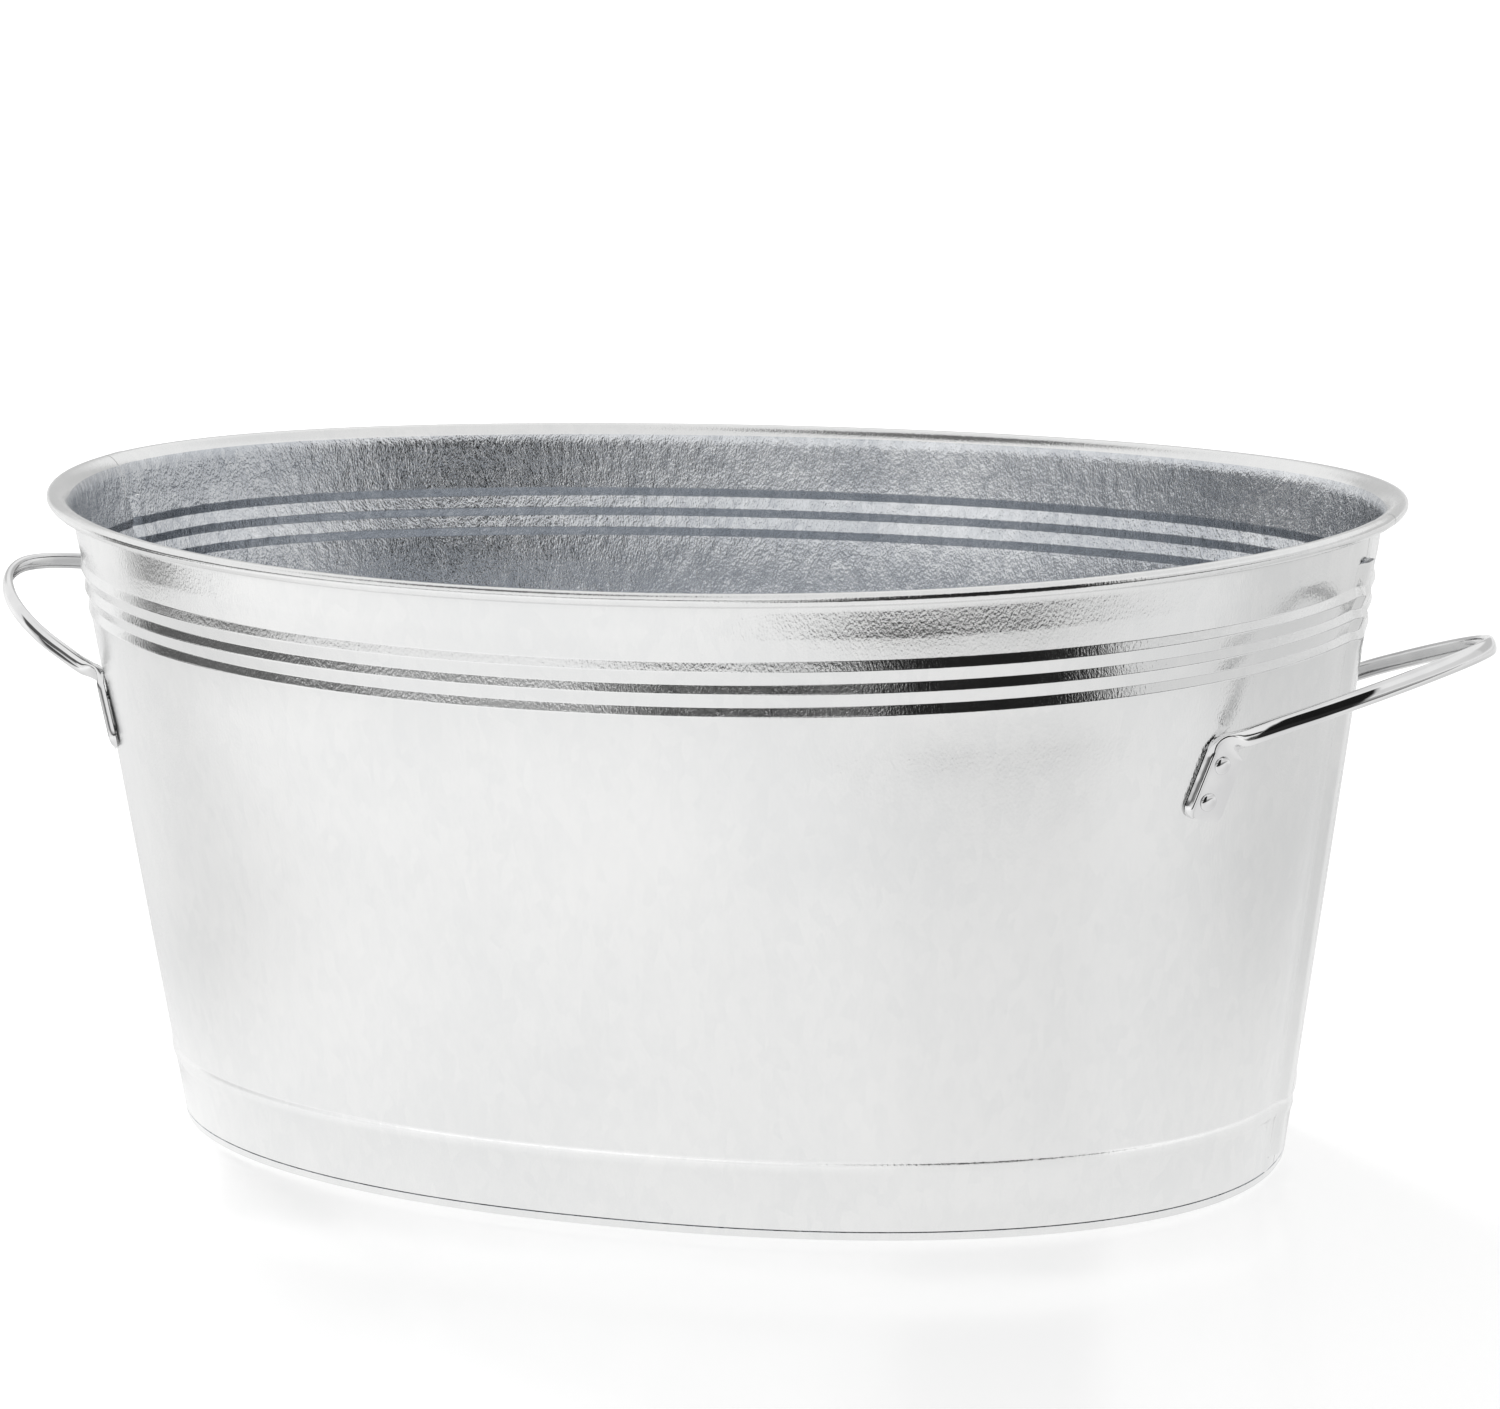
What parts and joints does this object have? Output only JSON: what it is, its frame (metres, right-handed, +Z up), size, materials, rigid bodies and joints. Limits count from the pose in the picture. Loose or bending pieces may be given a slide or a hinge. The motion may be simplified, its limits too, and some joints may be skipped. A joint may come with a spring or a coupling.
{
  "type": "galvanized beverage tub",
  "caption": "Oval flared sheet metal tub with a rolled rim, pressed beads under the rim, lock seams down its ends and riveted loop handles, for holding drinks and ice.",
  "frame": {"origin": "centre of the oval at the plane that the foot rests on", "axes": "+X along the long axis towards the right handle, +Y towards the back, +Z up"},
  "size_m": [0.5842, 0.3598, 0.2435],
  "materials": {
    "galvanized_steel": "satin galvanized",
    "chromed_steel": "polished"
  },
  "bodies": {
    "root": {"body_front": "galvanized_steel", "body_back": "galvanized_steel", "bottom": "galvanized_steel", "handle_right": "chromed_steel", "handle_left": "chromed_steel", "rivet_right_front_upper": "chromed_steel", "rivet_right_front_lower": "chromed_steel", "rivet_right_back_upper": "chromed_steel", "rivet_right_back_lower": "chromed_steel", "rivet_left_front_upper": "chromed_steel", "rivet_left_front_lower": "chromed_steel", "rivet_left_back_upper": "chromed_steel", "rivet_left_back_lower": "chromed_steel"}
  },
  "joints": []
}
